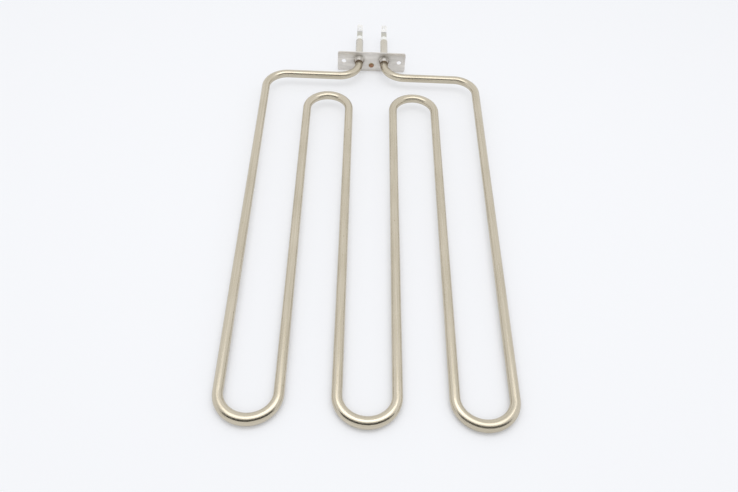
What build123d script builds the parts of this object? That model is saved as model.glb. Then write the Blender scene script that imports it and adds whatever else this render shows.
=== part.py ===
"""Tubular heating element: one length of metal-sheathed heater tube bent into a
six-legged serpentine, whose two ends pass through a small mounting plate.

Frame: millimetres, +Z up, the six legs lie level.  +Y runs from the heated legs to
the terminals, +X to the right.  The origin is the middle of the plate's rear face,
which is the face that seats on the appliance wall.
"""

import os
from math import cos, radians, sin

from build123d import *

# ---- sheath: one bent tube ----
tube_diameter = 8.5
tube_wall = 0.7
tube_end_chamfer = 0.25

# ---- serpentine ----
near_bends = 3  # U-bends at the free end; the legs are twice as many
near_bend_pitch = 47.0  # between the two legs that a near U-bend joins
far_bend_pitch = 44.5  # between the two legs that a far U-bend joins
leg_length = 338.0  # straight part of an inner leg
head_gap = 57.0  # centres of the far U-bends to the cross-runs
corner_radius = 23.0  # outer leg into cross-run
neck_radius = 22.0  # cross-run into terminal end
neck_reach = 30.5  # cross-runs to the plate's rear face
tail_reach = 35.5  # plate's rear face to the end of the sheath
terminal_pitch = 28.5
tube_rise = 1.5  # tube centreline above the plate's mid-height

# ---- mounting plate ----
plate_width = 77.0
plate_height = 25.0
plate_thickness = 1.5
plate_corner_radius = 2.5
mounting_hole_diameter = 5.3
mounting_hole_spacing = 63.0

# ---- collars, brazed on the sheath and staked into the plate ----
collar_wall = 0.75
collar_length = 5.5  # in front of the plate
collar_edge_radius = 0.4
collar_foot_flare = 2.0  # foot beyond the barrel, on the plate
collar_foot_length = 3.0
collar_foot_rim = 0.4  # straight edge of the foot
shank_wall = 0.7
staked_rim_height = 0.8
staked_rim_lip = 0.4

# ---- conductor inside the sheath ----
pin_diameter = 3.0
pin_depth = 38.0  # inside the sheath, the unheated length
pin_overhang = 9.0  # beyond the end bead
pin_flat_depth = 1.0
coil_wire = 0.6
coil_overlap = 6.0  # coil wound over the pin's inner end

# ---- end closure ----
bead_flange_inset = 0.5  # bead's body below the sheath's surface
bead_length = 7.0
bead_edge_radius = 1.0
bead_spigot_length = 3.0
bead_clearance = 0.15
seal_length = 4.0

# ---- flat blade terminals ----
blade_width = 6.3
blade_thickness = 0.8
blade_root_gap = 1.0  # end bead to blade
blade_root_length = 11.0
blade_tab_length = 8.0
blade_rise_angle = 35.0
blade_bend_radius = 1.6
blade_tip_chamfer = 1.2
blade_hole_diameter = 2.2
blade_hole_from_tip = 4.2

# ---- earth tab, riveted to the plate's rear face ----
rivet_drop = 4.4  # below the plate's mid-height
rivet_shank_diameter = 3.2
rivet_head_diameter = 6.0
rivet_head_height = 0.9
rivet_head_rounding = 0.72
rivet_tail_diameter = 4.8
rivet_tail_height = 0.8
rivet_tail_rounding = 0.64
earth_base_rise = 3.2  # above the rivet
earth_base_drop = 4.0  # rivet down to the tab's middle plane
earth_tab_length = 12.0
earth_bend_radius = 1.4

# ---- derived ----
tube_radius = tube_diameter / 2
bore_radius = tube_radius - tube_wall
pin_radius = pin_diameter / 2
coil_radius = pin_radius + coil_wire
near_bend_radius = near_bend_pitch / 2
far_bend_radius = far_bend_pitch / 2
coil_half_width = (near_bends * near_bend_pitch + (near_bends - 1) * far_bend_pitch) / 2
cross_run_length = coil_half_width - corner_radius - neck_radius - terminal_pitch / 2
outer_leg_length = leg_length + head_gap - corner_radius
tail_length = tail_reach + neck_reach - neck_radius
bead_end_y = tail_reach + bead_length
seal_start_y = tail_reach - bead_spigot_length
filling_start_y = seal_start_y - seal_length
coil_start_y = tail_reach - pin_depth + coil_overlap

LEFT, RIGHT = -1, 1
SIDES = {"left": LEFT, "right": RIGHT}


def centreline(end_y):
    """The bent centreline, from one terminal end to the other, both ending at end_y."""
    tail = tail_length - (tail_reach - end_y)
    moves = [(tail, -90, neck_radius), (cross_run_length, 90, corner_radius)]
    leg = outer_leg_length
    for bend in range(near_bends):
        moves.append((leg, 180, near_bend_radius))
        leg = leg_length
        if bend < near_bends - 1:
            moves.append((leg, -180, far_bend_radius))
    moves.append((outer_leg_length, 90, corner_radius))
    moves.append((cross_run_length, -90, neck_radius))
    place = Vector(-terminal_pitch / 2, end_y, tube_rise)
    heading = Vector(0, -1, 0)
    edges = []
    for length, turn, radius in moves:
        run = Line(place, place + heading * length)
        arc = JernArc(run @ 1, heading, radius, turn)
        edges += [run, arc]
        place = arc @ 1
        heading = arc % 1
    edges.append(Line(place, place + heading * tail))
    return Wire(edges)


def swept_rod(radius, end_y):
    path = centreline(end_y)
    section = Plane(origin=path @ 0, z_dir=path % 0) * Circle(radius)
    return sweep(section, path=path)


def along_y(x, z, radius, start_y, end_y):
    """A round bar along Y."""
    start = Plane(origin=(x, start_y, z), z_dir=(0, 1, 0))
    return start * Cylinder(radius, end_y - start_y, align=(Align.CENTER, Align.CENTER, Align.MIN))


def terminal_bar(side, radius, start_y, end_y):
    """A round bar on the axis of one terminal end."""
    return along_y(side * terminal_pitch / 2, tube_rise, radius, start_y, end_y)


def sheath_tube():
    tube = swept_rod(tube_radius, tail_reach) - swept_rod(bore_radius, tail_reach)
    rims = tube.faces().sort_by(Axis.Y)[-2:].edges().filter_by(
        lambda edge: abs(edge.radius - tube_radius) < tube_wall / 2)
    return chamfer(rims, tube_end_chamfer)


def magnesia_filling():
    """Compacted powder between the sheath and the conductor."""
    filling = swept_rod(bore_radius, filling_start_y) - swept_rod(coil_radius, coil_start_y)
    for side in SIDES.values():
        filling -= terminal_bar(side, pin_radius, tail_reach - pin_depth, tail_reach)
    return filling


def resistance_coil():
    """The wound coil's envelope: a sleeve one wire thick."""
    return swept_rod(coil_radius, coil_start_y) - swept_rod(pin_radius, coil_start_y)


def magnesia_core():
    """Powder inside the coil, from one pin's inner end to the other's."""
    return swept_rod(pin_radius, tail_reach - pin_depth)


def cold_pin(side):
    end_y = bead_end_y + pin_overhang
    pin = terminal_bar(side, pin_radius, tail_reach - pin_depth, end_y)
    flat_z = tube_rise + pin_radius - pin_flat_depth
    flat_start_y = bead_end_y + blade_root_gap
    cutter = Pos(side * terminal_pitch / 2, flat_start_y, flat_z) * Box(
        pin_diameter, pin_overhang, pin_diameter, align=(Align.CENTER, Align.MIN, Align.MIN))
    return pin - cutter


def seal_plug(side):
    plug = terminal_bar(side, bore_radius, filling_start_y, seal_start_y)
    return plug - terminal_bar(side, pin_radius, filling_start_y, seal_start_y)


def end_bead(side):
    body = terminal_bar(side, tube_radius - bead_flange_inset, tail_reach, bead_end_y)
    body = fillet(body.faces().sort_by(Axis.Y)[-1].edges(), bead_edge_radius)
    spigot = terminal_bar(side, bore_radius - bead_clearance, seal_start_y, tail_reach)
    bore = terminal_bar(side, pin_radius + bead_clearance, seal_start_y, bead_end_y)
    return body + spigot - bore


def strip(points, radius, thickness, width, x):
    """A flat strip bent along points (y, z), centred on x."""
    bend = Plane.YZ.offset(x - width / 2) * trace(FilletPolyline(*points, radius=radius), thickness)
    return extrude(bend, width, dir=(1, 0, 0))


def blade_terminal(side):
    """Welded to the pin's flat, then bent up into a flat quick-connect tab."""
    x = side * terminal_pitch / 2
    mid_z = tube_rise + pin_radius - pin_flat_depth + blade_thickness / 2
    start = (bead_end_y + blade_root_gap, mid_z)
    knee = (start[0] + blade_root_length, mid_z)
    rise = (cos(radians(blade_rise_angle)), sin(radians(blade_rise_angle)))
    tip = (knee[0] + blade_tab_length * rise[0], knee[1] + blade_tab_length * rise[1])
    blade = strip([start, knee, tip], blade_bend_radius, blade_thickness, blade_width, x)
    tab_plane = Plane(origin=(x, *tip), x_dir=(1, 0, 0), z_dir=(0, -rise[1], rise[0]))
    return cut_tab(blade, tab_plane)


def cut_tab(blade, tab_plane):
    """Cuts the tip's corners and the latching hole; tab_plane sits at the tip, its Y along the tab."""
    half = blade_width / 2
    for side in SIDES.values():
        corner = make_face(Polyline(
            (side * (half - blade_tip_chamfer), 0),
            (side * half, 0),
            (side * half, -blade_tip_chamfer),
            close=True))
        blade -= extrude(tab_plane * corner, blade_thickness, both=True)
    hole = Pos(0, -blade_hole_from_tip) * Circle(blade_hole_diameter / 2)
    return blade - extrude(tab_plane * hole, blade_thickness, both=True)


def mounting_plate():
    blank = RectangleRounded(plate_width, plate_height, plate_corner_radius)
    for side in SIDES.values():
        blank -= Pos(side * mounting_hole_spacing / 2, 0) * Circle(mounting_hole_diameter / 2)
        blank -= Pos(side * terminal_pitch / 2, tube_rise) * Circle(tube_radius + shank_wall)
    blank -= Pos(0, -rivet_drop) * Circle(rivet_shank_diameter / 2)
    rear_face = Plane(origin=(0, 0, 0), x_dir=(1, 0, 0), z_dir=(0, -1, 0))
    return extrude(rear_face * blank, plate_thickness)


def collar_foot(side):
    """Tapered foot that spreads the collar's hold on the plate."""
    barrel_radius = tube_radius + collar_wall
    foot_radius = barrel_radius + collar_foot_flare
    taper_length = collar_foot_length - collar_foot_rim
    start = Plane(
        origin=(side * terminal_pitch / 2, -plate_thickness - collar_foot_length, tube_rise),
        z_dir=(0, 1, 0))
    taper = start * Cone(
        barrel_radius, foot_radius, taper_length, align=(Align.CENTER, Align.CENTER, Align.MIN))
    return taper + terminal_bar(
        side, foot_radius, -plate_thickness - collar_foot_rim, -plate_thickness)


def collar(side):
    front_y = -plate_thickness - collar_length
    head = terminal_bar(side, tube_radius + collar_wall, front_y, -plate_thickness)
    head = fillet(head.faces().sort_by(Axis.Y)[0].edges(), collar_edge_radius)
    head += collar_foot(side)
    shank = terminal_bar(side, tube_radius + shank_wall, -plate_thickness, staked_rim_height)
    rim = terminal_bar(side, tube_radius + shank_wall + staked_rim_lip, 0, staked_rim_height)
    rim = chamfer(rim.faces().sort_by(Axis.Y)[-1].edges(), staked_rim_lip)
    bore = terminal_bar(side, tube_radius, front_y, staked_rim_height)
    return head + shank + rim - bore


def earth_tab():
    """Flat base under the rivet's tail, bent rearwards into a blade."""
    mid_y = blade_thickness / 2
    top = (mid_y, -rivet_drop + earth_base_rise)
    knee = (mid_y, -rivet_drop - earth_base_drop)
    tip = (mid_y + earth_tab_length, knee[1])
    tab = strip([top, knee, tip], earth_bend_radius, blade_thickness, blade_width, 0)
    tab = cut_tab(tab, Plane(origin=(0, *tip), x_dir=(1, 0, 0), z_dir=(0, 0, 1)))
    return tab - along_y(0, -rivet_drop, rivet_shank_diameter / 2, 0, blade_thickness)


def earth_rivet():
    head_y = -plate_thickness - rivet_head_height
    head = along_y(0, -rivet_drop, rivet_head_diameter / 2, head_y, -plate_thickness)
    head = fillet(head.faces().sort_by(Axis.Y)[0].edges(), rivet_head_rounding)
    tail_end_y = blade_thickness + rivet_tail_height
    tail = along_y(0, -rivet_drop, rivet_tail_diameter / 2, blade_thickness, tail_end_y)
    tail = fillet(tail.faces().sort_by(Axis.Y)[-1].edges(), rivet_tail_rounding)
    shank = along_y(0, -rivet_drop, rivet_shank_diameter / 2, -plate_thickness, blade_thickness)
    return head + shank + tail


def nodes():
    made = {
        "sheath_tube": sheath_tube(),
        "magnesia_filling": magnesia_filling(),
        "resistance_coil": resistance_coil(),
        "magnesia_core": magnesia_core(),
        "mounting_plate": mounting_plate(),
        "earth_tab": earth_tab(),
        "earth_rivet": earth_rivet(),
    }
    for name, side in SIDES.items():
        made["cold_pin_" + name] = cold_pin(side)
        made["seal_plug_" + name] = seal_plug(side)
        made["end_bead_" + name] = end_bead(side)
        made["blade_terminal_" + name] = blade_terminal(side)
        made["collar_" + name] = collar(side)
    return made


os.makedirs("parts", exist_ok=True)
for node_name, shape in nodes().items():
    export_step(shape, "parts/" + node_name + ".step")
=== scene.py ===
"""Dresses the tubular heating element and sets it on a pale studio floor.

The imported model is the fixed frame. New pieces stand for the sheath, the mounting
plate and the two collars, two braze rings are added, and every other part keeps its
own shape under a new material. Lengths are metres.
"""

from math import cos, hypot, pi, radians, sin

import bpy
import numpy as np
from mathutils import Matrix, Vector


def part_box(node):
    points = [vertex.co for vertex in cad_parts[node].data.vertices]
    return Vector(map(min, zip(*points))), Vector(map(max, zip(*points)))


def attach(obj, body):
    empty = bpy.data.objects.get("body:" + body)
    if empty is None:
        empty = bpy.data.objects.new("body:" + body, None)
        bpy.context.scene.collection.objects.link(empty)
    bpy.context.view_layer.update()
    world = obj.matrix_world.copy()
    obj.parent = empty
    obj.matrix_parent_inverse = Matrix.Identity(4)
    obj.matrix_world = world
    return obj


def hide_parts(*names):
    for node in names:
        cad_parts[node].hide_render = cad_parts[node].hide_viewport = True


bl_info = {
    "name": "Tubular heating element",
    "version": (1, 0, 0),
    "blender": (4, 5, 0),
    "location": "View3D > Sidebar > Heater",
    "description": "Builds the looks of a serpentine tubular heating element with its mounting plate",
    "category": "Object",
}

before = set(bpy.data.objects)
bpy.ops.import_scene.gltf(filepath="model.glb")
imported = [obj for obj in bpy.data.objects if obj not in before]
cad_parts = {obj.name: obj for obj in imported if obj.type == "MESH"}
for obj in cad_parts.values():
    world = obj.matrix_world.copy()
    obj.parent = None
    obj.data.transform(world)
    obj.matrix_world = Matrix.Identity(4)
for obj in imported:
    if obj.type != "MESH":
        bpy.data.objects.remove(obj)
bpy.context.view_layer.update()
PLATE_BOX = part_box("mounting_plate")
COLLAR_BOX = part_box("collar_left")
RIVET_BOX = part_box("earth_rivet")
SHEATH_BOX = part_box("sheath_tube")

COLLAR_X = (COLLAR_BOX[0].x + COLLAR_BOX[1].x) / 2  # axis of the left collar
COLLAR_Z = (COLLAR_BOX[0].z + COLLAR_BOX[1].z) / 2
RIVET_X = (RIVET_BOX[0].x + RIVET_BOX[1].x) / 2
LEFT, RIGHT = -1, 1
FACING_X, FACING_Y = (0, pi / 2, 0), (pi / 2, 0, 0)

# Faces and steps of the new meshes.
SHEATH_AROUND = 64
BEND_STEP = radians(3.75)  # turn from one ring of a bend to the next
END_CHAMFER_STEPS = 2
CORNER_STEPS = 10
HOLE_AROUND = 72
PLATE_EDGE_STEPS = 3
COLLAR_AROUND = 96
COLLAR_EDGE_STEPS = 3
BRAZE_AROUND = 64
BRAZE_SECTION = 14
STAGE_CUTS = 3  # across the floor and the card

# Shapes that no setting changes.
PRESS_POWER = 1.5  # a bend's pressing follows this power of a sine
DRILL_LENGTH = 0.02
BRAZE_LIFT = 0.3  # centre of the braze above the sheath, as a share of its radius
BRAZE_STRETCH = (1, 1.3, 0.9)
REST_INSET = 0.004  # from the sheath's near end to where it touches the floor

# Angles under which faces are shaded smooth, or over which an edge is rounded.
SMOOTH_ANGLE = radians(40)
BRAZE_SMOOTH_ANGLE = radians(60)
ROUNDED_ANGLE = radians(50)

# Tolerances.
HAIR = 1e-9  # a later run or bend has to be nearer by this
TURN_SLACK = 1e-6  # past either end of a bend
MERGE = 1e-6  # points closer than this are one
NEAR_ENOUGH = 1e-5
BOX_SLACK = 2e-4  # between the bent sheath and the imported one

# Colours and limits inside the materials.
GRAIN_RANGE = (0.3, 0.7)
SMUDGE_RANGE = (0.35, 0.7)
SPECKED_CELLS = (0.90, 0.94)  # a cell's random value, from no speck to a full one
SPECK_EDGE = 0.05
PLATE_TINT_AND_SHADE = (0.20, 0.19, 0.145, 1.0)  # heat tint and painted shade on the plate round the collars
TINT_AND_SHADE_FOOT, TINT_AND_SHADE_TOP = 0.003, 0.007  # above the collars' axis, where it grows to its full strength
UNDERSIDE_SHADE_UPRIGHT = (0.5, 0.2)  # cosine of the angle from a collar's top, from lit to full painted shade on the underside
BRAZE_BROWN, BRAZE_BURNT = (0.24, 0.17, 0.10, 1.0), (0.12, 0.085, 0.055, 1.0)
BRAZE_BRIGHT = (0.35, 0.28, 0.16, 1.0)
RIVET_RIM, RIVET_SPECK = (0.42, 0.34, 0.20, 1.0), (0.10, 0.06, 0.04, 1.0)
RIVET_RIM_REACH = (0.0021, 0.0028)  # from the rivet's axis
BEAD_WARMTH = (0.95, 0.93, 0.88)
BEAD_SPECK = (0.45, 0.40, 0.33, 1.0)
BLADE_ROOT = (0.0545, 0.0505)  # Y where the bright blade ends and where its dull root is full
BLADE_SPECK = (0.2, 0.18, 0.13, 1.0)
MAGNESIA_GREY, MAGNESIA_WHITE = (0.72, 0.71, 0.68, 1.0), (0.84, 0.83, 0.81, 1.0)
WIRE_DARK, WIRE_LIGHT = (0.20, 0.19, 0.18, 1.0), (0.40, 0.38, 0.36, 1.0)

CONTACT_SHADE_SAMPLES = 8  # rays that look for a gap over the floor, where the glow gives way to painted contact shade
SENSOR_WIDTH = 36.0  # millimetres, like the lens
CLIP_START, CLIP_END = 0.01, 50.0


# -------------------------------- settings


def length(name, description, default):
    return bpy.props.FloatProperty(
        name=name, description=description, default=default, unit="LENGTH", precision=5, min=0.0
    )


def colour(name, description, default):
    return bpy.props.FloatVectorProperty(
        name=name, description=description, default=default, subtype="COLOR", size=3, min=0.0, max=1.0
    )


def share(name, description, default):
    return bpy.props.FloatProperty(
        name=name, description=description, default=default, subtype="FACTOR", min=0.0, max=1.0
    )


def angle(name, description, default):
    return bpy.props.FloatProperty(
        name=name, description=description, default=radians(default), subtype="ANGLE"
    )


class HEATER_PG_sheath(bpy.types.PropertyGroup):
    """Sizes and colours of the bent sheath."""

    diameter: length("Diameter", "Outside diameter of the sheath", 0.0085)
    wall: length("Wall", "Wall of the sheath", 0.0007)
    end_chamfer: length("End chamfer", "Chamfer of the sheath's two cut ends", 0.00025)
    near_pitch: length("Near pitch", "Between the two legs that a near bend joins", 0.047)
    far_pitch: length("Far pitch", "Between the two legs that a far bend joins", 0.0445)
    leg: length("Leg", "Straight part of an inner leg", 0.338)
    head_gap: length("Head gap", "Centres of the far bends to the cross-runs", 0.057)
    corner_radius: length("Corner radius", "Outer leg into cross-run", 0.023)
    neck_radius: length("Neck radius", "Cross-run into terminal end", 0.022)
    neck_reach: length("Neck reach", "Cross-runs to the plate's rear face", 0.0305)
    tail_reach: length("Tail reach", "Plate's rear face to the end of the sheath", 0.0355)
    terminal_pitch: length("Terminal pitch", "Between the two terminal ends", 0.0285)
    rise: length("Rise", "Sheath's centreline above the plate's mid-height", 0.0015)
    near_press: length("Near press", "Widening of a near bend's inner side at its middle", 0.0019)
    far_press: length("Far press", "Widening of a far bend's inner side at its middle", 0.0006)
    light: colour("Light metal", "Bright streaks of the drawn steel", (0.64, 0.58, 0.47))
    clean: colour("Clean metal", "Terminal ends above the plate, left bright", (0.66, 0.63, 0.56))
    dark: colour("Dark metal", "Darker streaks of the drawn steel", (0.52, 0.47, 0.365))
    oxide: colour("Oxide", "Film left on the metal by annealing", (0.30, 0.25, 0.15))
    roughness: share("Roughness", "Roughness of the drawn steel", 0.2)


class HEATER_PG_plate(bpy.types.PropertyGroup):
    """Sizes and colours of the mounting plate, the collars and the rivet."""

    corner_radius: length("Corner radius", "Rounded corners of the plate", 0.0025)
    screw_hole: length("Screw hole", "Diameter of the two screw holes", 0.0053)
    screw_spacing: length("Screw spacing", "Between the two screw holes", 0.063)
    collar_hole: length("Collar hole", "Diameter of the two holes that the collars are staked in", 0.0099)
    rivet_hole: length("Rivet hole", "Diameter of the rivet's hole", 0.0032)
    rivet_drop: length("Rivet drop", "Rivet below the plate's mid-height", 0.0044)
    edge: length("Edge", "Rounding of the plate's stamped edges", 0.0002)
    metal: colour("Plate metal", "Colour of the plate's sheet steel", (0.79, 0.76, 0.715))
    # Also the colour of the painted shade on the collars' undersides.
    tint: colour("Heat tint", "Colour left by brazing", (0.17, 0.12, 0.075))
    collar: colour("Collar metal", "Colour of the turned collars", (0.97, 0.945, 0.915))
    copper: colour("Rivet metal", "Colour of the dull copper rivet", (0.43, 0.24, 0.15))
    collar_foot: length("Collar foot", "Radius of the tapered collar on the plate", 0.0059)
    collar_taper: length("Collar taper", "Length of the collar's taper", 0.0035)
    collar_rim: length("Collar rim", "Straight rim of the collar's foot", 0.0003)
    collar_nose: length("Collar nose", "Radius of the tapered collar at its front", 0.00458)
    collar_edge: length("Collar edge", "Rounding of the collar's front edge", 0.00025)
    collar_lip: length("Collar lip", "Staked rim beyond the plate's hole, at the rear", 0.0004)
    braze_radius: length("Braze", "Half the thickness of the braze ring", 0.0004)


class HEATER_PG_terminals(bpy.types.PropertyGroup):
    """Colours of the parts at the terminal ends."""

    bead: colour("Bead", "Colour of the ceramic end beads", (0.96, 0.97, 0.945))
    blade: colour("Blade", "Colour of the plated blades", (0.60, 0.60, 0.602))
    blade_dull: colour("Blade, dull", "Colour of the blades' worn plating", (0.60, 0.585, 0.51))
    pin: colour("Pin", "Colour of the cold pins", (0.50, 0.49, 0.46))
    seal: colour("Seal", "Colour of the silicone seals", (0.55, 0.16, 0.09))


class HEATER_PG_stage(bpy.types.PropertyGroup):
    """The floor, the lights, the dark card and the camera."""

    floor: colour("Floor", "Colour of the floor", (0.955, 0.965, 0.99))
    floor_glow: share("Floor glow", "Share of the floor seen unshaded, directly or in a reflection", 0.5)
    # Reach of the painted contact shade on the floor.
    contact_shade_reach: length("Contact reach", "Height below which a gap keeps its full shadow", 0.008)
    floor_side: length("Floor side", "Side of the square floor", 6.0)
    softbox_width: length("Softbox width", "Overhead softbox from side to side", 1.1)
    softbox_depth: length("Softbox depth", "Overhead softbox from front to back", 0.5)
    softbox_height: length("Softbox height", "Overhead softbox above the origin", 1.0)
    softbox_ahead: length("Softbox ahead", "Overhead softbox on the near side of the origin", 0.18)
    softbox_power: bpy.props.FloatProperty(
        name="Softbox power", description="Power of the overhead softbox", default=2.5, unit="POWER"
    )
    sky: colour("Surroundings", "Colour of the pale surroundings", (0.98, 0.985, 1.0))
    sky_light: share("Surroundings' light", "Level of the light that surfaces receive", 0.78)
    card: colour("Card", "Colour of the dark card that the metal reflects", (0.03, 0.028, 0.022))
    card_width: length("Card width", "Dark card from side to side", 2.4)
    card_depth: length("Card depth", "Dark card from its lower to its upper edge", 0.42)
    card_height: length("Card height", "Dark card above the origin", 0.59)
    card_ahead: length("Card ahead", "Dark card on the near side of the origin", 0.79)
    card_tilt: angle("Card tilt", "Dark card's angle above the level", 42)
    azimuth: angle("Azimuth", "Camera's turn to the side", -2.319)
    elevation: angle("Elevation", "Camera's angle above the level", 50.468)
    roll: angle("Roll", "Camera's turn round its own axis", 3.743)
    distance: length("Distance", "Camera to the point that it looks at", 0.657737)
    target: bpy.props.FloatVectorProperty(
        name="Target",
        description="Point that the camera looks at",
        default=(-0.000118, -0.2755, 0.0015),
        unit="LENGTH",
        size=3,
        precision=5,
    )
    lens: bpy.props.FloatProperty(name="Lens", description="Focal length in millimetres", default=35.51)


# -------------------------------- modelling


def deselect():
    bpy.ops.object.select_all(action="DESELECT")
    bpy.context.view_layer.objects.active = None


def pick(piece):
    deselect()
    piece.select_set(True)
    bpy.context.view_layer.objects.active = piece


def keep_place(piece):
    """Puts the object's turn, scale and place into its mesh."""
    pick(piece)
    bpy.ops.object.transform_apply(location=True, rotation=True, scale=True)


def edit_all():
    bpy.ops.object.mode_set(mode="EDIT")
    bpy.ops.mesh.select_all(action="SELECT")


def start_ring(context, around, radius, place, facing):
    """Adds a ring of points, picked in edit mode, that a surface is drawn out from."""
    deselect()
    bpy.ops.mesh.primitive_circle_add(
        vertices=around, radius=radius, fill_type="NOTHING", location=place, rotation=facing
    )
    ring = context.object
    keep_place(ring)
    edit_all()
    return ring


def close_mesh():
    """Joins the points that meet, turns the faces outwards and leaves edit mode."""
    bpy.ops.mesh.select_all(action="SELECT")
    bpy.ops.mesh.remove_doubles(threshold=MERGE)
    bpy.ops.mesh.normals_make_consistent(inside=False)
    bpy.ops.object.mode_set(mode="OBJECT")


def coordinates(piece):
    co = np.empty(len(piece.data.vertices) * 3, np.float64)
    piece.data.vertices.foreach_get("co", co)
    return co.reshape(-1, 3)


def apply_modifiers(piece):
    pick(piece)
    for modifier in list(piece.modifiers):
        bpy.ops.object.modifier_apply(modifier=modifier.name)


def bevel_edges(piece, wanted, width, steps):
    """Bevels the edges whose two ends pass the test on their places."""
    bpy.ops.object.mode_set(mode="EDIT")
    bpy.ops.mesh.select_mode(type="EDGE")
    bpy.ops.mesh.select_all(action="DESELECT")
    bpy.ops.object.mode_set(mode="OBJECT")
    mesh = piece.data
    for edge in mesh.edges:
        a, b = (mesh.vertices[i].co for i in edge.vertices)
        edge.select = bool(wanted(a, b))
    bpy.ops.object.mode_set(mode="EDIT")
    bpy.ops.mesh.bevel(offset=width, segments=steps, affect="EDGES")
    bpy.ops.object.mode_set(mode="OBJECT")


def finish_piece(piece, name, material, smooth_angle=SMOOTH_ANGLE):
    piece.name = piece.data.name = name
    pick(piece)
    bpy.ops.object.shade_smooth_by_angle(angle=smooth_angle)
    piece.data.materials.clear()
    piece.data.materials.append(material)
    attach(piece, "root")


def dress_node(name, material):
    """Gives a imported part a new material."""
    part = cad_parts[name]
    for place in part.material_slots:
        place.material = material


def bending(size):
    """Run, turn in degrees, bend radius and pressing of each step, from one terminal end to the other."""
    near, far = size.near_pitch / 2, size.far_pitch / 2
    half_width = 3 * near + 2 * far
    across = half_width - size.corner_radius - size.neck_radius - size.terminal_pitch / 2
    tail = size.tail_reach + size.neck_reach - size.neck_radius
    outer_leg = size.leg + size.head_gap - size.corner_radius
    return [
        (tail, -90, size.neck_radius, 0),
        (across, 90, size.corner_radius, 0),
        (outer_leg, 180, near, size.near_press),
        (size.leg, -180, far, size.far_press),
        (size.leg, 180, near, size.near_press),
        (size.leg, -180, far, size.far_press),
        (size.leg, 180, near, size.near_press),
        (outer_leg, 90, size.corner_radius, 0),
        (across, -90, size.neck_radius, 0),
        (tail, 0, 0, 0),
    ]


def unrolled(size, co):
    """Each point's sideways and upward offset from the sheath's centreline, and its distance along it."""
    place = np.array([-size.terminal_pitch / 2, size.tail_reach])
    heading = np.array([0.0, -1.0])
    along = 0.0
    best = np.full(len(co), np.inf)
    found = np.zeros((len(co), 3))
    flat = co[:, :2]
    for run, turn, radius, _ in bending(size):
        left = np.array([-heading[1], heading[0]])
        ahead = np.clip((flat - place) @ heading, 0.0, run)
        offset = flat - place - ahead[:, None] * heading
        gap = np.hypot(*offset.T)
        nearer = gap < best - HAIR
        best[nearer] = gap[nearer]
        found[nearer, 0] = (offset @ left)[nearer]
        found[nearer, 2] = along + ahead[nearer]
        place, along = place + run * heading, along + run
        if not turn:
            break
        side = 1 if turn > 0 else -1
        centre = place + side * radius * left
        start = place - centre
        spoke = flat - centre
        turned_by = side * np.arctan2(start[0] * spoke[:, 1] - start[1] * spoke[:, 0], spoke @ start)
        reach = np.hypot(*spoke.T)
        within = (turned_by > -TURN_SLACK) & (turned_by < radians(abs(turn)) + TURN_SLACK)
        gap = np.where(within, np.abs(reach - radius), np.inf)
        nearer = gap < best - HAIR
        best[nearer] = gap[nearer]
        found[nearer, 0] = (side * (radius - reach))[nearer]
        found[nearer, 2] = (along + turned_by * radius)[nearer]
        turned = Matrix.Rotation(radians(turn), 2)
        place = centre + np.array(turned @ Vector(start))
        heading = np.array(turned @ Vector(heading))
        along += radians(abs(turn)) * radius
    found[:, 1] = co[:, 2] - size.rise
    return found


# -------------------------------- shader wiring


def put(tree, kind, inputs=None, **settings):
    """Adds a node, gives it its settings, and fills or links its inputs."""
    node = tree.nodes.new(kind)
    for key, value in settings.items():
        setattr(node, key, value)
    for key, value in (inputs or {}).items():
        if isinstance(value, bpy.types.NodeSocket):
            tree.links.new(value, node.inputs[key])
        else:
            node.inputs[key].default_value = value
    return node


def group_of(name, inputs, outputs, fill):
    """The shared node group of this name, filled on its first use.

    It takes the vector to read and these inputs, given with their defaults. Its outputs are numbers.
    """
    if name in bpy.data.node_groups:
        return bpy.data.node_groups[name]
    group = bpy.data.node_groups.new(name, "ShaderNodeTree")
    group.interface.new_socket("Vector", in_out="INPUT", socket_type="NodeSocketVector")
    for label, default in inputs.items():
        kind = "NodeSocketFloat" if isinstance(default, float) else "NodeSocketVector"
        socket = group.interface.new_socket(label, in_out="INPUT", socket_type=kind)
        socket.default_value = default
    for label in outputs:
        group.interface.new_socket(label, in_out="OUTPUT", socket_type="NodeSocketFloat")
    fill(group, put(group, "NodeGroupInput").outputs, put(group, "NodeGroupOutput").inputs)
    return group


def spread(tree, value, low, high, to_low=0.0, to_high=1.0, smooth=True):
    """A value mapped from one range to another and held inside it."""
    return put(
        tree,
        "ShaderNodeMapRange",
        {"Value": value, "From Min": low, "From Max": high, "To Min": to_low, "To Max": to_high},
        interpolation_type="SMOOTHSTEP" if smooth else "LINEAR",
    ).outputs["Result"]


def maths(tree, operation, a, b=0.0):
    return put(tree, "ShaderNodeMath", {0: a, 1: b}, operation=operation).outputs[0]


def noise(tree, vector, scale, detail):
    inputs = {"Vector": vector, "Scale": scale, "Detail": detail}
    return put(tree, "ShaderNodeTexNoise", inputs).outputs["Fac"]


def hypotenuse(tree, across, up):
    squares = [maths(tree, "MULTIPLY", side, side) for side in (across, up)]
    return maths(tree, "SQRT", maths(tree, "ADD", *squares))


def blend_colour(tree, factor, a, b):
    """Colour a where the factor is 0, colour b where it is 1."""
    node = put(tree, "ShaderNodeMix", data_type="RGBA")
    for socket, value in ((node.inputs[0], factor), (node.inputs[6], a), (node.inputs[7], b)):
        if isinstance(value, bpy.types.NodeSocket):
            tree.links.new(value, socket)
        else:
            socket.default_value = value
    return node.outputs[2]


def coat(tree, base, mask, colour, strength):
    """Lays a colour over the base where the mask is, at most at this strength."""
    return blend_colour(tree, maths(tree, "MULTIPLY", mask, strength), base, colour)


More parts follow.
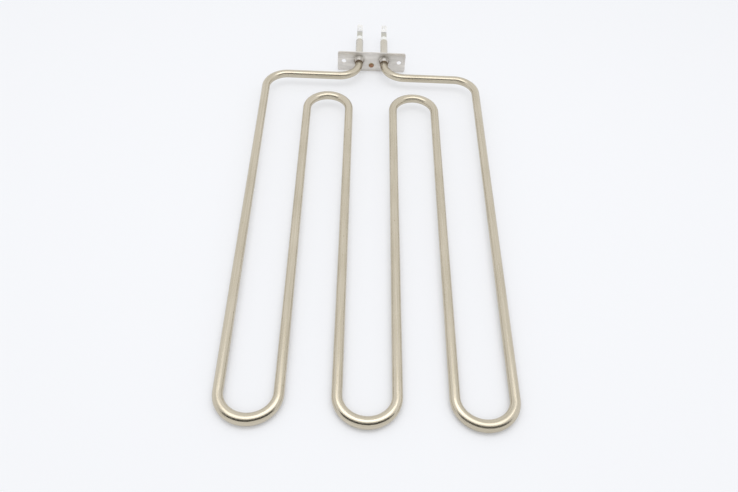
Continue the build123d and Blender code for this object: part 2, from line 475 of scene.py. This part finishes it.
def roughness(tree, mask, least, most, smooth=False):
    """Roughness from the least, where the mask is 0, to the most, where it is 1."""
    return spread(tree, mask, 0.0, 1.0, least, most, smooth)


def raised(tree, value, mask, by):
    """The value, raised where the mask is."""
    return maths(tree, "ADD", value, maths(tree, "MULTIPLY", mask, by))


def rgba(values):
    return (*values, 1.0)


def shaded(values, level):
    """A colour made darker, or lighter as far as white."""
    return rgba(min(1.0, level * c) for c in values)


def fill_grain(group, given, out):
    for label, detail in (("Broad", 2.0), ("Fine", 3.0)):
        stretched = put(
            group,
            "ShaderNodeVectorMath",
            {0: given["Vector"], 1: given[f"{label} scale"]},
            operation="MULTIPLY",
        ).outputs[0]
        streaks = noise(group, stretched, scale=1.0, detail=detail)
        group.links.new(spread(group, streaks, *GRAIN_RANGE, smooth=False), out[label])


def grain_group():
    """Streaks of drawn or brushed metal, long in the direction whose scale is small."""
    scales = {"Broad scale": (700.0, 700.0, 14.0), "Fine scale": (4000.0, 4000.0, 60.0)}
    return group_of("Metal grain", scales, ("Broad", "Fine"), fill_grain)


def fill_specks(group, given, out):
    cells = put(group, "ShaderNodeTexVoronoi", {"Vector": given["Vector"], "Scale": given["Speck scale"]})
    lottery = put(group, "ShaderNodeSeparateColor", {0: cells.outputs["Color"]}).outputs[0]
    chosen = spread(group, lottery, *SPECKED_CELLS)
    inside = maths(group, "SUBTRACT", given["Speck size"], cells.outputs["Distance"])
    dot = spread(group, inside, 0.0, SPECK_EDGE)
    group.links.new(maths(group, "MULTIPLY", chosen, dot), out["Specks"])
    cloud = noise(group, given["Vector"], given["Smudge scale"], detail=3.0)
    group.links.new(spread(group, cloud, *SMUDGE_RANGE), out["Smudges"])


def speck_group():
    """Sparse small specks, and soft smudges from handling."""
    scales = {"Speck scale": 400.0, "Speck size": 0.12, "Smudge scale": 60.0}
    return group_of("Specks and smudges", scales, ("Specks", "Smudges"), fill_specks)


def fill_tint(group, given, out):
    cloud = noise(group, given["Vector"], scale=350.0, detail=2.0)
    centred = maths(group, "SUBTRACT", cloud, 0.5)
    shift = maths(group, "MULTIPLY", centred, given["Unevenness"])
    distance = raised(group, given["Distance"], shift, by=2.0)
    group.links.new(spread(group, distance, given["Start"], given["Reach"], 1.0, 0.0), out["Mask"])


def tint_group():
    """Heat tint round a point or an axis: full at the start, gone at the reach, with an uneven edge."""
    limits = {"Distance": 0.0, "Start": 0.0, "Reach": 0.005, "Unevenness": 0.001}
    return group_of("Heat tint", limits, ("Mask",), fill_tint)


def use(tree, group, **inputs):
    """Places a shared group, with input names written with underscores."""
    named = {key.replace("_", " "): value for key, value in inputs.items()}
    return put(tree, "ShaderNodeGroup", named, node_tree=group).outputs


def tint_from(tree, vector, distance, start, reach, unevenness):
    """Mask of the heat tint at this distance: full as far as the start, gone at the reach."""
    limits = {"Start": start, "Reach": reach, "Unevenness": unevenness}
    return use(tree, tint_group(), Vector=vector, Distance=distance, **limits)["Mask"]


def grain_on(tree, vector, broad, fine):
    """Grain with its broad and fine scales along X, Y and Z."""
    return use(tree, grain_group(), Vector=vector, Broad_scale=broad, Fine_scale=fine)


def marks_on(tree, vector, specks, speck_size, smudges):
    """Specks of this size and smudges, with the scale of each."""
    scales = {"Speck_scale": specks, "Speck_size": speck_size, "Smudge_scale": smudges}
    return use(tree, speck_group(), Vector=vector, **scales)


def new_material(name, **constants):
    """A material with its Principled BSDF, whose constant sockets are set here."""
    material = bpy.data.materials.new(name)
    material.use_nodes = True
    tree = material.node_tree
    for key, value in constants.items():
        tree.nodes["Principled BSDF"].inputs[key.replace("_", " ")].default_value = value
    return material, tree


def finish_material(material, colour, rough, height, depth):
    """Links the material's colour, its roughness, and bumps of this depth."""
    tree = material.node_tree
    shader = tree.nodes["Principled BSDF"]
    bumps = put(tree, "ShaderNodeBump", {"Height": height, "Distance": depth, "Strength": 1.0})
    for key, socket in (("Base Color", colour), ("Roughness", rough), ("Normal", bumps.outputs["Normal"])):
        tree.links.new(socket, shader.inputs[key])
    return material


def own_place(tree):
    """Object coordinates."""
    return put(tree, "ShaderNodeTexCoord").outputs["Object"]


def parts_of(tree, vector):
    """The vector's X, Y and Z."""
    return put(tree, "ShaderNodeSeparateXYZ", {0: vector}).outputs


def axis_distance(tree, parts, x, z):
    """Distance to a line along Y through x and z."""
    return hypotenuse(tree, maths(tree, "SUBTRACT", parts["X"], x), maths(tree, "SUBTRACT", parts["Z"], z))


# -------------------------------- materials


def drawn_steel(size, plate):
    """Drawn and annealed sheath steel, read along the tube."""
    material, tree = new_material("Drawn sheath steel", Metallic=1.0)
    along = put(tree, "ShaderNodeAttribute", attribute_name="unrolled").outputs["Vector"]
    vector = own_place(tree)
    parts = parts_of(tree, vector)
    grain = use(tree, grain_group(), Vector=along)
    marks = marks_on(tree, vector, specks=260.0, speck_size=0.16, smudges=28.0)
    metal = blend_colour(tree, grain["Broad"], rgba(size.dark), rgba(size.light))
    metal = coat(tree, metal, grain["Fine"], rgba(size.light), strength=0.35)
    beyond_plate = spread(tree, parts["Y"], PLATE_BOX[0].y, PLATE_BOX[1].y)
    metal = coat(tree, metal, beyond_plate, rgba(size.clean), strength=0.75)
    metal = coat(tree, metal, marks["Smudges"], rgba(size.oxide), strength=0.12)
    before = maths(tree, "SUBTRACT", COLLAR_BOX[0].y, parts["Y"])
    behind = maths(tree, "SUBTRACT", parts["Y"], COLLAR_BOX[1].y)
    away = maths(tree, "MAXIMUM", before, behind)
    tint = tint_from(tree, vector, away, start=0.0012, reach=0.0055, unevenness=0.0012)
    metal = coat(tree, metal, tint, rgba(plate.tint), strength=0.75)
    metal = coat(tree, metal, marks["Specks"], rgba(size.oxide), strength=0.7)
    rough = roughness(tree, grain["Fine"], least=size.roughness - 0.04, most=size.roughness + 0.08)
    rough = raised(tree, rough, marks["Smudges"], by=0.06)
    return finish_material(material, metal, rough, grain["Fine"], depth=0.000012)


def sheet_steel(plate):
    """Rolled sheet of the mounting plate, with heat tint and painted shade round the brazed collars,
    strongest above them.
    """
    material, tree = new_material("Rolled sheet steel", Metallic=1.0)
    vector = own_place(tree)
    parts = parts_of(tree, vector)
    grain = grain_on(tree, vector, broad=(60.0, 400.0, 900.0), fine=(260.0, 3000.0, 6000.0))
    marks = marks_on(tree, vector, specks=330.0, speck_size=0.14, smudges=55.0)
    dark = shaded(plate.metal, level=0.84)
    metal = blend_colour(tree, grain["Broad"], dark, shaded(plate.metal, level=1.1))
    metal = coat(tree, metal, marks["Smudges"], dark, strength=0.55)
    # Painted shade: the darkening round each collar grows upwards, strongest on the plate above it.
    strength = spread(tree, parts["Z"], COLLAR_Z + TINT_AND_SHADE_FOOT, COLLAR_Z + TINT_AND_SHADE_TOP, to_low=0.2, to_high=0.7)
    for x in (COLLAR_X, -COLLAR_X):
        away = axis_distance(tree, parts, x, COLLAR_Z)
        foot = plate.collar_foot
        tint = tint_from(tree, vector, away, start=foot, reach=foot + 0.004, unevenness=0.0016)
        metal = coat(tree, metal, tint, PLATE_TINT_AND_SHADE, strength)
    metal = coat(tree, metal, marks["Specks"], rgba(plate.tint), strength=0.5)
    rough = roughness(tree, grain["Fine"], least=0.36, most=0.48)
    return finish_material(material, metal, rough, grain["Fine"], depth=0.000015)


def turned_steel(plate):
    """Turned collars: fine rings round the axis, heat-tinted at the brazed front, with painted shade on the
    underside.
    """
    material, tree = new_material("Turned collar steel", Metallic=1.0)
    vector = own_place(tree)
    parts = parts_of(tree, vector)
    grain = grain_on(tree, vector, broad=(200.0, 1500.0, 200.0), fine=(300.0, 9000.0, 300.0))
    marks = marks_on(tree, vector, specks=500.0, speck_size=0.14, smudges=200.0)
    metal = blend_colour(tree, grain["Broad"], shaded(plate.collar, level=0.9), rgba(plate.collar))
    back = maths(tree, "SUBTRACT", parts["Y"], COLLAR_BOX[0].y)
    tint = tint_from(tree, vector, back, start=0.0004, reach=0.0022, unevenness=0.0006)
    sideways = maths(tree, "ADD", maths(tree, "ABSOLUTE", parts["X"]), COLLAR_X)
    up = maths(tree, "SUBTRACT", parts["Z"], COLLAR_Z)
    upright = maths(tree, "DIVIDE", up, hypotenuse(tree, sideways, up))
    # Painted shade: in front of the plate, the collar's underside is darkened with the heat-tint colour.
    painted_underside_shade = spread(tree, upright, *UNDERSIDE_SHADE_UPRIGHT)
    ahead = spread(tree, parts["Y"], PLATE_BOX[1].y, PLATE_BOX[0].y)
    # Heat tint at the brazed front, together with the painted shade on the underside.
    burnt = maths(tree, "MAXIMUM", maths(tree, "MULTIPLY", painted_underside_shade, ahead), tint)
    metal = coat(tree, metal, burnt, rgba(plate.tint), strength=0.75)
    metal = coat(tree, metal, marks["Specks"], rgba(plate.tint), strength=0.3)
    rough = roughness(tree, grain["Fine"], least=0.26, most=0.4)
    rough = raised(tree, rough, tint, by=0.15)
    return finish_material(material, metal, rough, grain["Fine"], depth=0.00001)


def braze_metal():
    """Dull braze with a burnt skin."""
    material, tree = new_material("Braze", Metallic=1.0)
    vector = own_place(tree)
    marks = marks_on(tree, vector, specks=900.0, speck_size=0.3, smudges=700.0)
    metal = blend_colour(tree, marks["Smudges"], BRAZE_BROWN, BRAZE_BURNT)
    metal = blend_colour(tree, marks["Specks"], metal, BRAZE_BRIGHT)
    rough = roughness(tree, marks["Smudges"], least=0.35, most=0.6, smooth=True)
    return finish_material(material, metal, rough, marks["Smudges"], depth=0.00008)


def dull_copper(plate):
    """Dull copper rivet with a paler rim."""
    material, tree = new_material("Dull copper", Metallic=1.0)
    vector = own_place(tree)
    marks = marks_on(tree, vector, specks=700.0, speck_size=0.25, smudges=500.0)
    away = axis_distance(tree, parts_of(tree, vector), RIVET_X, -plate.rivet_drop)
    metal = blend_colour(tree, marks["Smudges"], rgba(plate.copper), shaded(plate.copper, level=0.6))
    metal = blend_colour(tree, spread(tree, away, *RIVET_RIM_REACH), metal, RIVET_RIM)
    metal = coat(tree, metal, marks["Specks"], RIVET_SPECK, strength=0.6)
    rough = roughness(tree, marks["Smudges"], least=0.42, most=0.62, smooth=True)
    return finish_material(material, metal, rough, marks["Smudges"], depth=0.00005)


def glazed_ceramic(terminals):
    """White ceramic end beads."""
    material, tree = new_material("White ceramic", Specular_IOR_Level=0.45)
    vector = own_place(tree)
    marks = marks_on(tree, vector, specks=900.0, speck_size=0.15, smudges=400.0)
    warm = rgba(c * w for c, w in zip(terminals.bead, BEAD_WARMTH))
    body = coat(tree, rgba(terminals.bead), marks["Smudges"], warm, strength=0.5)
    body = coat(tree, body, marks["Specks"], BEAD_SPECK, strength=0.6)
    grit = noise(tree, vector, scale=3500.0, detail=2.0)
    rough = roughness(tree, marks["Smudges"], least=0.35, most=0.55, smooth=True)
    return finish_material(material, body, rough, grit, depth=0.00002)


def bright_plating(terminals):
    """Plated flat blades, dulled in streaks and at the root."""
    material, tree = new_material("Bright plating", Metallic=1.0)
    vector = own_place(tree)
    dull = rgba(terminals.blade_dull)
    grain = grain_on(tree, vector, broad=(900.0, 120.0, 900.0), fine=(5000.0, 400.0, 5000.0))
    marks = marks_on(tree, vector, specks=600.0, speck_size=0.16, smudges=260.0)
    metal = coat(tree, rgba(terminals.blade), grain["Broad"], dull, strength=0.45)
    root = spread(tree, parts_of(tree, vector)["Y"], *BLADE_ROOT)
    metal = coat(tree, metal, root, dull, strength=0.8)
    metal = coat(tree, metal, marks["Specks"], BLADE_SPECK, strength=0.6)
    rough = roughness(tree, grain["Fine"], least=0.38, most=0.5)
    rough = raised(tree, rough, marks["Smudges"], by=0.08)
    return finish_material(material, metal, rough, grain["Fine"], depth=0.00001)


def pin_metal(terminals):
    """Drawn cold pins."""
    material, tree = new_material("Drawn pin steel", Metallic=1.0)
    grain = grain_on(tree, own_place(tree), broad=(1500.0, 60.0, 1500.0), fine=(7000.0, 200.0, 7000.0))
    metal = blend_colour(tree, grain["Broad"], shaded(terminals.pin, level=0.7), rgba(terminals.pin))
    rough = roughness(tree, grain["Fine"], least=0.28, most=0.42)
    return finish_material(material, metal, rough, grain["Fine"], depth=0.00001)


def silicone(terminals):
    """Silicone that seals the sheath's ends."""
    material, tree = new_material("Silicone seal", Specular_IOR_Level=0.4)
    vector = own_place(tree)
    marks = marks_on(tree, vector, specks=900.0, speck_size=0.2, smudges=500.0)
    body = blend_colour(tree, marks["Smudges"], rgba(terminals.seal), shaded(terminals.seal, level=0.7))
    rough = roughness(tree, marks["Smudges"], least=0.4, most=0.6, smooth=True)
    return finish_material(material, body, rough, marks["Smudges"], depth=0.00005)


def packed_magnesia():
    """Packed white magnesia powder."""
    material, tree = new_material("Packed magnesia", Specular_IOR_Level=0.2)
    vector = own_place(tree)
    grit = noise(tree, vector, scale=2500.0, detail=3.0)
    body = blend_colour(tree, spread(tree, grit, low=0.35, high=0.65), MAGNESIA_GREY, MAGNESIA_WHITE)
    rough = spread(tree, grit, low=0.3, high=0.7, to_low=0.75, to_high=0.95)
    return finish_material(material, body, rough, grit, depth=0.00008)


def coiled_wire():
    """Resistance wire, unevenly dark."""
    material, tree = new_material("Coiled resistance wire", Metallic=1.0)
    grain = grain_on(tree, own_place(tree), broad=(400.0, 400.0, 400.0), fine=(2500.0, 2500.0, 2500.0))
    metal = blend_colour(tree, grain["Broad"], WIRE_DARK, WIRE_LIGHT)
    rough = roughness(tree, grain["Fine"], least=0.4, most=0.6)
    return finish_material(material, metal, rough, grain["Fine"], depth=0.00005)


def seen_directly(tree):
    """1 for what the camera, a reflection or a clear part sees, 0 for the light that a surface receives."""
    path = put(tree, "ShaderNodeLightPath").outputs
    seen = maths(tree, "MAXIMUM", path["Is Camera Ray"], path["Is Glossy Ray"])
    return maths(tree, "MAXIMUM", seen, path["Is Transmission Ray"])


def studio_floor(stage):
    """Pale floor, faintly uneven, that glows a little where it is seen; in the narrow gaps under parts the
    glow is held back, which paints contact shade there.
    """
    material, tree = new_material("Pale studio floor", Roughness=0.75, Specular_IOR_Level=0.2)
    cloud = noise(tree, own_place(tree), scale=3.0, detail=2.0)
    lower = shaded(stage.floor, level=0.985)
    shader = tree.nodes["Principled BSDF"]
    tree.links.new(blend_colour(tree, cloud, lower, rgba(stage.floor)), shader.inputs["Base Color"])
    glow = put(tree, "ShaderNodeEmission", {"Color": rgba(stage.floor), "Strength": 1.0}).outputs[0]
    # Painted contact shade: the glow fades where ambient occlusion finds a part close above the floor.
    gap = put(tree, "ShaderNodeAmbientOcclusion", {"Distance": stage.contact_shade_reach}, samples=CONTACT_SHADE_SAMPLES)
    clear = maths(tree, "MULTIPLY", gap.outputs["AO"], gap.outputs["AO"])
    glowing = maths(tree, "MULTIPLY", maths(tree, "MULTIPLY", seen_directly(tree), clear), stage.floor_glow)
    mixed = put(tree, "ShaderNodeMixShader", {0: glowing, 1: shader.outputs[0], 2: glow}).outputs[0]
    tree.links.new(mixed, tree.nodes["Material Output"].inputs["Surface"])
    return material


# -------------------------------- operators


class HEATER_OT_sheath(bpy.types.Operator):
    """Bends the sheath from one length of tube, with its wall and its two chamfered ends"""

    bl_idname = "heater.sheath"
    bl_label = "Sheath"

    def execute(self, context):
        size = context.scene.heater_sheath
        tube = self.bend_tube(context, size)
        self.open_tube(tube, size)
        co = coordinates(tube)
        for corner, packed in zip((co.min(0), co.max(0)), SHEATH_BOX):
            if np.abs(corner - np.array(packed)).max() > BOX_SLACK:
                raise RuntimeError(f"the sheath doesn't fill its place: {corner} for {packed}")
        along = tube.data.attributes.new("unrolled", "FLOAT_VECTOR", "POINT")
        along.data.foreach_set("vector", unrolled(size, co).astype(np.float32).ravel())
        finish_piece(tube, "sheath", drawn_steel(size, context.scene.heater_plate))
        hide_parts("sheath_tube")
        return {"FINISHED"}

    def bend_tube(self, context, size):
        """Bends the sheath's outer surface, ring by ring, from the left terminal end to the right one."""
        radius = size.diameter / 2
        place = Vector((-size.terminal_pitch / 2, size.tail_reach, size.rise))
        tube = start_ring(context, SHEATH_AROUND, radius, place, FACING_Y)
        heading = Vector((0, -1, 0))
        for run, turn, bend, press in bending(size):
            bpy.ops.mesh.extrude_edges_move(TRANSFORM_OT_translate={"value": tuple(run * heading)})
            place = place + run * heading
            if not turn:
                break
            side = 1 if turn > 0 else -1
            centre = place + side * bend * Vector((-heading.y, heading.x, 0))
            steps = round(radians(abs(turn)) / BEND_STEP)
            one_step = Matrix.Rotation(radians(turn) / steps, 3, "Z")
            width = size.diameter
            for step in range(1, steps + 1):
                bpy.ops.mesh.spin(steps=1, angle=-radians(turn) / steps, center=centre, axis=(0, 0, 1))
                place = centre + one_step @ (place - centre)
                heading = one_step @ heading
                pressed = size.diameter + press * sin(pi * step / steps) ** PRESS_POWER
                if pressed != width:
                    spoke = (place - centre).normalized()
                    bpy.ops.transform.resize(
                        value=(pressed / width, 1, 1),
                        orient_type="GLOBAL",
                        orient_matrix=(spoke, heading, (0, 0, 1)),
                        orient_matrix_type="GLOBAL",
                        center_override=place + radius * spoke,
                    )
                    width = pressed
        close_mesh()
        co = coordinates(tube)
        from_axis = np.hypot(co[:, 0] - size.terminal_pitch / 2, co[:, 2] - size.rise)
        end = co[from_axis < radius + NEAR_ENOUGH]
        if abs(end[:, 1].max() - size.tail_reach) > NEAR_ENOUGH:
            raise RuntimeError("the bent sheath doesn't end at its right terminal end")
        return tube

    def open_tube(self, tube, size):
        """Gives the sheath its wall, with a chamfer round each of its two ends."""
        wall = tube.modifiers.new("Wall", "SOLIDIFY")
        wall.thickness = size.wall
        wall.offset = -1
        wall.use_even_offset = True
        wall.use_rim = True
        apply_modifiers(tube)

        def on_outer_rim(p):
            from_axis = hypot(abs(p.x) - size.terminal_pitch / 2, p.z - size.rise)
            return abs(p.y - size.tail_reach) < MERGE and abs(from_axis - size.diameter / 2) < NEAR_ENOUGH

        def on_rim(a, b):
            return on_outer_rim(a) and on_outer_rim(b)

        bevel_edges(tube, on_rim, size.end_chamfer, END_CHAMFER_STEPS)


class HEATER_OT_plate(bpy.types.Operator):
    """Stamps the mounting plate with its holes and rounded edges"""

    bl_idname = "heater.plate"
    bl_label = "Mounting plate"

    def execute(self, context):
        size = context.scene.heater_plate
        low, high = PLATE_BOX
        deselect()
        bpy.ops.mesh.primitive_cube_add(size=1, location=(low + high) / 2, scale=high - low)
        plate = context.object
        keep_place(plate)
        bevel_edges(plate, lambda a, b: abs(a.y - b.y) > NEAR_ENOUGH, size.corner_radius, CORNER_STEPS)
        pitch = context.scene.heater_sheath.terminal_pitch
        rise = context.scene.heater_sheath.rise
        holes = [(side * size.screw_spacing / 2, 0, size.screw_hole) for side in (LEFT, RIGHT)]
        holes += [(side * pitch / 2, rise, size.collar_hole) for side in (LEFT, RIGHT)]
        holes.append((0, -size.rivet_drop, size.rivet_hole))
        for x, z, diameter in holes:
            deselect()
            bpy.ops.mesh.primitive_cylinder_add(
                vertices=HOLE_AROUND,
                radius=diameter / 2,
                depth=DRILL_LENGTH,
                location=(x, (low.y + high.y) / 2, z),
                rotation=FACING_Y,
            )
            drill = context.object
            keep_place(drill)
            cut = plate.modifiers.new("Hole", "BOOLEAN")
            cut.operation = "DIFFERENCE"
            cut.solver = "EXACT"
            cut.object = drill
            apply_modifiers(plate)
            bpy.data.objects.remove(drill)
        rounding = plate.modifiers.new("Edge", "BEVEL")
        rounding.width = size.edge
        rounding.segments = PLATE_EDGE_STEPS
        rounding.limit_method = "ANGLE"
        rounding.angle_limit = ROUNDED_ANGLE
        apply_modifiers(plate)
        finish_piece(plate, "plate", sheet_steel(size))
        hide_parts("mounting_plate")
        return {"FINISHED"}


class HEATER_OT_collars(bpy.types.Operator):
    """Turns the two collars and lays a braze ring where the sheath leaves each of them"""

    bl_idname = "heater.collars"
    bl_label = "Collars"

    def execute(self, context):
        size = context.scene.heater_plate
        sheath = context.scene.heater_sheath
        radius = sheath.diameter / 2
        axis = Vector((LEFT * sheath.terminal_pitch / 2, COLLAR_BOX[0].y, sheath.rise))
        collar = self.turn_collar(context, size, axis, radius)
        other = self.copy_to_right(context, collar, sheath)
        material = turned_steel(size)
        for piece, side in ((collar, "left"), (other, "right")):
            finish_piece(piece, f"turned_collar_{side}", material)
            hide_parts(f"collar_{side}")
        ring = self.lay_braze(context, size, axis, radius)
        other = self.copy_to_right(context, ring, sheath)
        material = braze_metal()
        for piece, name in ((ring, "braze_left"), (other, "braze_right")):
            finish_piece(piece, name, material, BRAZE_SMOOTH_ANGLE)
        return {"FINISHED"}

    def lay_braze(self, context, size, axis, bore):
        """Lays a flattened ring of braze round the sheath, at the collar's front."""
        surface = axis + Vector((0, 0, bore))
        middle = surface + Vector((0, 0, BRAZE_LIFT * size.braze_radius))
        ring = start_ring(context, BRAZE_SECTION, size.braze_radius, middle, FACING_X)
        bpy.ops.transform.resize(value=BRAZE_STRETCH, center_override=surface)
        bpy.ops.mesh.spin(steps=BRAZE_AROUND, angle=2 * pi, center=axis, axis=(0, 1, 0))
        close_mesh()
        return ring

    def turn_collar(self, context, size, axis, bore):
        """Turns one tapered collar, with its rounded nose, its bore and the rim staked behind the plate."""
        face, back, rear = PLATE_BOX[0].y, PLATE_BOX[1].y, COLLAR_BOX[1].y
        foot, nose, edge = size.collar_foot, size.collar_nose, size.collar_edge
        hole = size.collar_hole / 2
        lip = hole + size.collar_lip
        outline = [(face - size.collar_rim, foot), (face - size.collar_rim - size.collar_taper, nose)]
        for step in range(COLLAR_EDGE_STEPS + 1):
            turn = pi / 2 * step / COLLAR_EDGE_STEPS
            outline.append((axis.y + edge - edge * sin(turn), nose - edge + edge * cos(turn)))
        outline += [(axis.y, bore), (rear, bore), (rear, lip), (back, lip)]
        outline += [(back, hole), (face, hole), (face, foot)]
        collar = start_ring(context, COLLAR_AROUND, foot, (axis.x, face, axis.z), FACING_Y)
        place, width = face, foot
        for next_place, next_width in outline:
            bpy.ops.mesh.extrude_edges_move(TRANSFORM_OT_translate={"value": (0, next_place - place, 0)})
            if next_width != width:
                grow = next_width / width
                bpy.ops.transform.resize(value=(grow, 1, grow), center_override=(axis.x, next_place, axis.z))
            place, width = next_place, next_width
        close_mesh()
        return collar

    def copy_to_right(self, context, piece, sheath):
        """Sets a copy of a left piece at the right terminal end."""
        other = piece.copy()
        other.data = piece.data.copy()
        context.scene.collection.objects.link(other)
        other.location.x = sheath.terminal_pitch
        keep_place(other)
        return other


class HEATER_OT_terminals(bpy.types.Operator):
    """Dresses the end beads, seals, cold pins and blades of both terminal ends, and the earth tab"""

    bl_idname = "heater.terminals"
    bl_label = "Terminal ends"

    def execute(self, context):
        colours = context.scene.heater_terminals
        finishes = {
            "end_bead": glazed_ceramic(colours),
            "seal_plug": silicone(colours),
            "cold_pin": pin_metal(colours),
            "blade_terminal": bright_plating(colours),
        }
        for part, material in finishes.items():
            for side in ("left", "right"):
                dress_node(f"{part}_{side}", material)
        dress_node("earth_tab", finishes["blade_terminal"])
        return {"FINISHED"}


class HEATER_OT_rivet(bpy.types.Operator):
    """Dresses the copper rivet of the earth tab"""

    bl_idname = "heater.rivet"
    bl_label = "Rivet"

    def execute(self, context):
        dress_node("earth_rivet", dull_copper(context.scene.heater_plate))
        return {"FINISHED"}


class HEATER_OT_filling(bpy.types.Operator):
    """Dresses the magnesia and the resistance coil inside the sheath"""

    bl_idname = "heater.filling"
    bl_label = "Filling and coil"

    def execute(self, context):
        powder = packed_magnesia()
        for name in ("magnesia_filling", "magnesia_core"):
            dress_node(name, powder)
        dress_node("resistance_coil", coiled_wire())
        return {"FINISHED"}


class HEATER_OT_stage(bpy.types.Operator):
    """Lays the floor that the near bends and the plate rest on, and sets lights, card and camera"""

    bl_idname = "heater.stage"
    bl_label = "Stage"

    def execute(self, context):
        stage = context.scene.heater_stage
        self.lay_floor(context, stage)
        self.set_lights(context, stage)
        self.hang_card(context, stage)
        self.set_camera(context, stage)
        return {"FINISHED"}

    def add_plane(self, context, name, place, tilt, width, depth):
        """Adds a divided plane, tilted about the line from side to side."""
        deselect()
        bpy.ops.mesh.primitive_plane_add(size=1, location=place, rotation=(tilt, 0, 0))
        plane = context.object
        plane.scale = (width, depth, 1)
        keep_place(plane)
        edit_all()
        bpy.ops.mesh.subdivide(number_cuts=STAGE_CUTS)
        bpy.ops.object.mode_set(mode="OBJECT")
        plane.name = plane.data.name = name
        return plane

    def lay_floor(self, context, stage):
        near = Vector((0, SHEATH_BOX[0].y + REST_INSET, SHEATH_BOX[0].z))
        far = Vector((0, PLATE_BOX[1].y, PLATE_BOX[0].z))
        fall = Vector((far.y - near.y, far.z - near.z)).angle_signed(Vector((1, 0)))
        floor = self.add_plane(context, "floor", near, fall, stage.floor_side, stage.floor_side)
        floor.data.materials.append(studio_floor(stage))

    def set_lights(self, context, stage):
        world = bpy.data.worlds.new("Studio surroundings")
        context.scene.world = world
        world.use_nodes = True
        tree = world.node_tree
        level = spread(tree, seen_directly(tree), 0.0, 1.0, stage.sky_light, 1.0, smooth=False)
        back = tree.nodes["Background"]
        back.inputs["Color"].default_value = rgba(stage.sky)
        tree.links.new(level, back.inputs["Strength"])
        light = bpy.data.lights.new("Overhead softbox", "AREA")
        light.shape = "RECTANGLE"
        light.size = stage.softbox_width
        light.size_y = stage.softbox_depth
        light.energy = stage.softbox_power
        lamp = bpy.data.objects.new("Overhead softbox", light)
        lamp.location = (0, -stage.softbox_ahead, stage.softbox_height)
        context.scene.collection.objects.link(lamp)

    def hang_card(self, context, stage):
        """Hangs a dark card behind the camera, which shows only as the dark line that the metal reflects."""
        place = (0, -stage.card_ahead, stage.card_height)
        tilt, width, depth = stage.card_tilt, stage.card_width, stage.card_depth
        card = self.add_plane(context, "dark_card", place, tilt, width, depth)
        card.data.materials.append(new_material("Dark card", Roughness=0.9, Base_Color=rgba(stage.card))[0])
        card.visible_camera = False
        card.visible_shadow = False
        card.visible_diffuse = False

    def set_camera(self, context, stage):
        azimuth, elevation, roll = stage.azimuth, stage.elevation, stage.roll
        back = Vector((sin(azimuth) * cos(elevation), -cos(azimuth) * cos(elevation), sin(elevation)))
        right = (-back).cross(Vector((0, 0, 1))).normalized()
        up = right.cross(-back)
        across = cos(roll) * right + sin(roll) * up
        above = -sin(roll) * right + cos(roll) * up
        place = Vector(stage.target) + stage.distance * back
        data = bpy.data.cameras.new("Camera")
        data.lens = stage.lens
        data.sensor_width = SENSOR_WIDTH
        data.clip_start = CLIP_START
        data.clip_end = CLIP_END
        camera = bpy.data.objects.new("Camera", data)
        turn = Matrix((across, above, back)).transposed()
        camera.matrix_world = Matrix.Translation(place) @ turn.to_4x4()
        context.scene.collection.objects.link(camera)
        context.scene.camera = camera
        context.scene.view_settings.view_transform = "Standard"


class HEATER_PT_panel(bpy.types.Panel):
    """Lists the pieces and their settings"""

    bl_idname = "HEATER_PT_panel"
    bl_label = "Heating element"
    bl_space_type = "VIEW_3D"
    bl_region_type = "UI"
    bl_category = "Heater"

    def draw(self, context):
        for label, group, operators in PANEL:
            box = self.layout.box()
            box.label(text=label)
            settings = getattr(context.scene, group)
            for key in settings.bl_rna.properties.keys():
                if key not in ("rna_type", "name"):
                    box.prop(settings, key)
            for operator in operators:
                box.operator(operator.bl_idname)


PANEL = (
    ("Sheath", "heater_sheath", (HEATER_OT_sheath, HEATER_OT_filling)),
    ("Plate and collars", "heater_plate", (HEATER_OT_plate, HEATER_OT_collars, HEATER_OT_rivet)),
    ("Terminal ends", "heater_terminals", (HEATER_OT_terminals,)),
    ("Stage", "heater_stage", (HEATER_OT_stage,)),
)
SETTINGS = {
    "heater_sheath": HEATER_PG_sheath,
    "heater_plate": HEATER_PG_plate,
    "heater_terminals": HEATER_PG_terminals,
    "heater_stage": HEATER_PG_stage,
}
CLASSES = (
    *SETTINGS.values(),
    *(operator for _, _, operators in PANEL for operator in operators),
    HEATER_PT_panel,
)


def register():
    for cls in CLASSES:
        bpy.utils.register_class(cls)
    for name, cls in SETTINGS.items():
        setattr(bpy.types.Scene, name, bpy.props.PointerProperty(type=cls))


def unregister():
    for name in SETTINGS:
        delattr(bpy.types.Scene, name)
    for cls in reversed(CLASSES):
        bpy.utils.unregister_class(cls)


def main():
    register()
    bpy.ops.heater.sheath()
    bpy.ops.heater.filling()
    bpy.ops.heater.plate()
    bpy.ops.heater.collars()
    bpy.ops.heater.rivet()
    bpy.ops.heater.terminals()
    bpy.ops.heater.stage()


if __name__ == "__main__":
    main()
